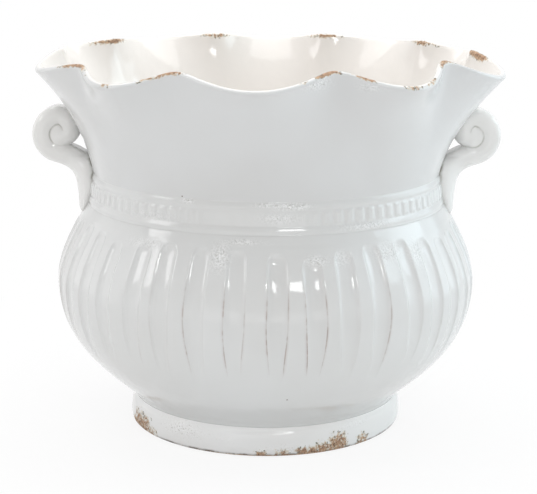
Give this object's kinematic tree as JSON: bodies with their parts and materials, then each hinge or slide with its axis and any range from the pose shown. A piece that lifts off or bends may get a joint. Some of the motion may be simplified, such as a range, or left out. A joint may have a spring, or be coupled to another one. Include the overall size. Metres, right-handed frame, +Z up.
{
  "type": "planter pot",
  "caption": "Wide glazed earthenware planter pot with a fluted belly, turned foot, flared ruffled rim, dentil band and two rolled scroll handles.",
  "frame": {"origin": "centre of the pot's base, on the ground it stands on", "axes": "+Z up along the pot's axis, +X towards the right handle seen from the front, +Y towards the back"},
  "size_m": [0.3444, 0.3378, 0.2794],
  "materials": {
    "foot_glaze": "glossy white glaze, rubbed through to brown earthenware along the base",
    "bowl_glaze": "glossy white glaze, thin and brownish along the edges of the flutes",
    "collar_glaze": "glossy white glaze, creamy inside, worn to brown clay along the rim",
    "band_glaze": "glossy white glaze pooled between the dentils",
    "handle_glaze": "glossy white glaze"
  },
  "bodies": {
    "root": {"foot_ring": "foot_glaze", "belly_bowl": "bowl_glaze", "neck_collar": "collar_glaze", "relief_band": "band_glaze", "handle_left": "handle_glaze", "handle_right": "handle_glaze"}
  },
  "joints": []
}
